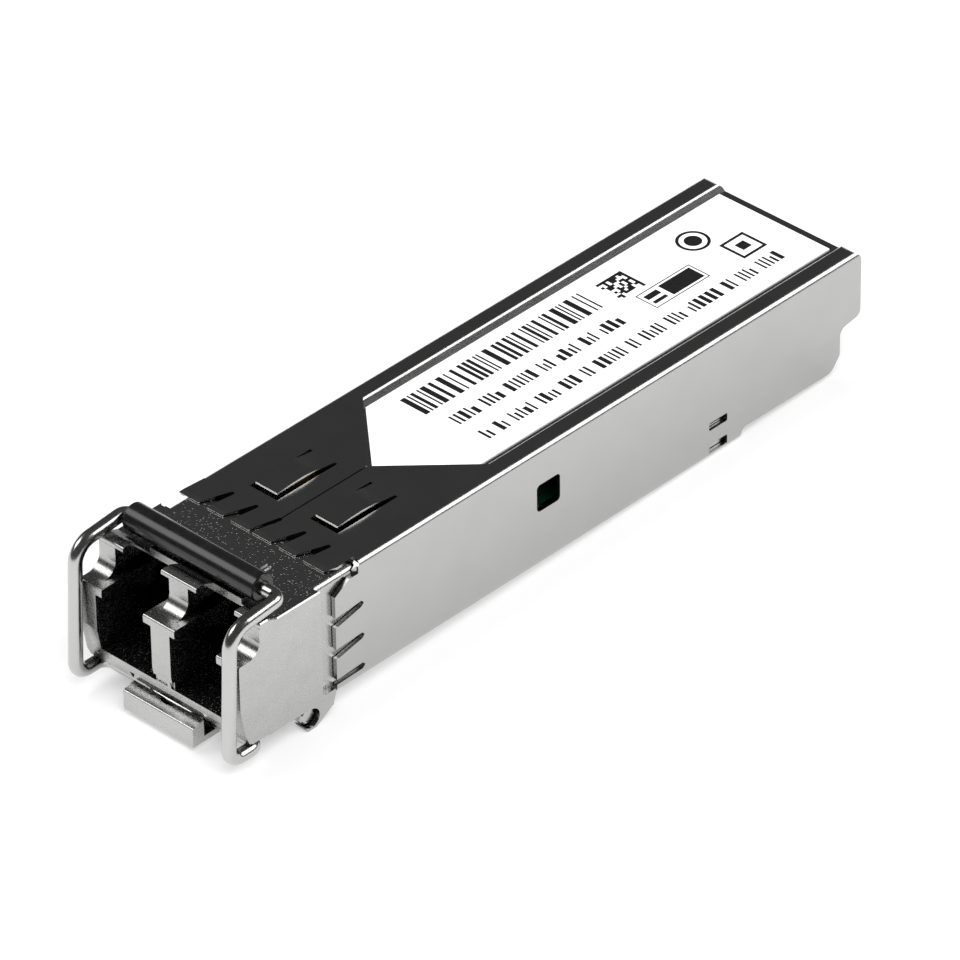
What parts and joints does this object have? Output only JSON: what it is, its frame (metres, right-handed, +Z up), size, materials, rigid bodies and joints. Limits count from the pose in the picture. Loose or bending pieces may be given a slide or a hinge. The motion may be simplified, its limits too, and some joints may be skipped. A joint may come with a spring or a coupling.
{
  "type": "optical transceiver module",
  "caption": "Pluggable optical transceiver with a die-cast duplex port end, wrapped sheet cover, recessed label, bail latch with rocking lever, and a rear edge connector.",
  "frame": {"origin": "bottom centre of the whole object's box, level with the underside of the hook lugs", "axes": "+Y runs from the port end to the edge-connector end (the insertion direction), +X is to the right seen from the port end, +Z is up towards the label"},
  "size_m": [0.0142, 0.0578, 0.0119],
  "materials": {
    "cast_zinc": "nickel-plated zinc casting, satin with a fine cast texture",
    "sheet_steel": "tin-plated sheet, fine satin grain",
    "label_film": "white printed film",
    "wire_steel": "bright drawn stainless wire",
    "black_vinyl": "smooth black sleeve",
    "lever_steel": "satin nickel",
    "spring_steel": "bright spring steel",
    "black_moulding": "black glass-filled moulding",
    "board_laminate": "green solder mask",
    "gold": "gold plating",
    "chip_package": "black epoxy package",
    "ferrite": "dark grey ferrite",
    "capacitor_ceramic": "tan ceramic",
    "receptacle_steel": "turned stainless steel",
    "zirconia": "polished white ceramic",
    "gasket_rubber": "conductive elastomer",
    "flex_polyimide": "amber polyimide film"
  },
  "bodies": {
    "housing": {"nose_housing": "cast_zinc", "cover_shell": "sheet_steel", "label": "label_film", "latch_spring": "spring_steel", "spring_rivet": "spring_steel", "osa_retainer": "black_moulding", "circuit_board": "board_laminate", "contacts_top": "gold", "contacts_bottom": "gold", "laser_driver_chip": "chip_package", "amplifier_chip": "chip_package", "controller_chip": "chip_package", "memory_chip": "chip_package", "filter_inductors": "ferrite", "ceramic_capacitors": "capacitor_ceramic", "chip_resistors": "chip_package", "lower_capacitors": "capacitor_ceramic", "tosa_receptacle": "receptacle_steel", "tosa_split_sleeve": "zirconia", "tosa_fibre_stub": "zirconia", "tosa_gasket": "gasket_rubber", "tosa_can": "gold", "tosa_leads": "gold", "tosa_flex": "flex_polyimide", "rosa_receptacle": "receptacle_steel", "rosa_split_sleeve": "zirconia", "rosa_fibre_stub": "zirconia", "rosa_gasket": "gasket_rubber", "rosa_can": "gold", "rosa_leads": "gold", "rosa_flex": "flex_polyimide"},
    "bail": {"bail_wire": "wire_steel", "bail_sleeve": "black_vinyl"},
    "latch": {"latch_lever": "lever_steel", "lever_pin": "wire_steel"}
  },
  "joints": [
    {"name": "bail_swing", "type": "hinge", "parent": "housing", "child": "bail", "pos_m": [0, -0.02592, 0.0012], "axis": [1, 0, 0], "range_deg": [0, 90]},
    {"name": "lever_tilt", "type": "hinge", "parent": "housing", "child": "latch", "pos_m": [0, -0.02157, 0.00086], "axis": [1, 0, 0], "range_deg": [0, 6], "deforming": ["latch_spring"]}
  ],
  "couplings": [
    {"joint": "lever_tilt", "follows": "bail_swing", "ratio": 0.0666}
  ]
}
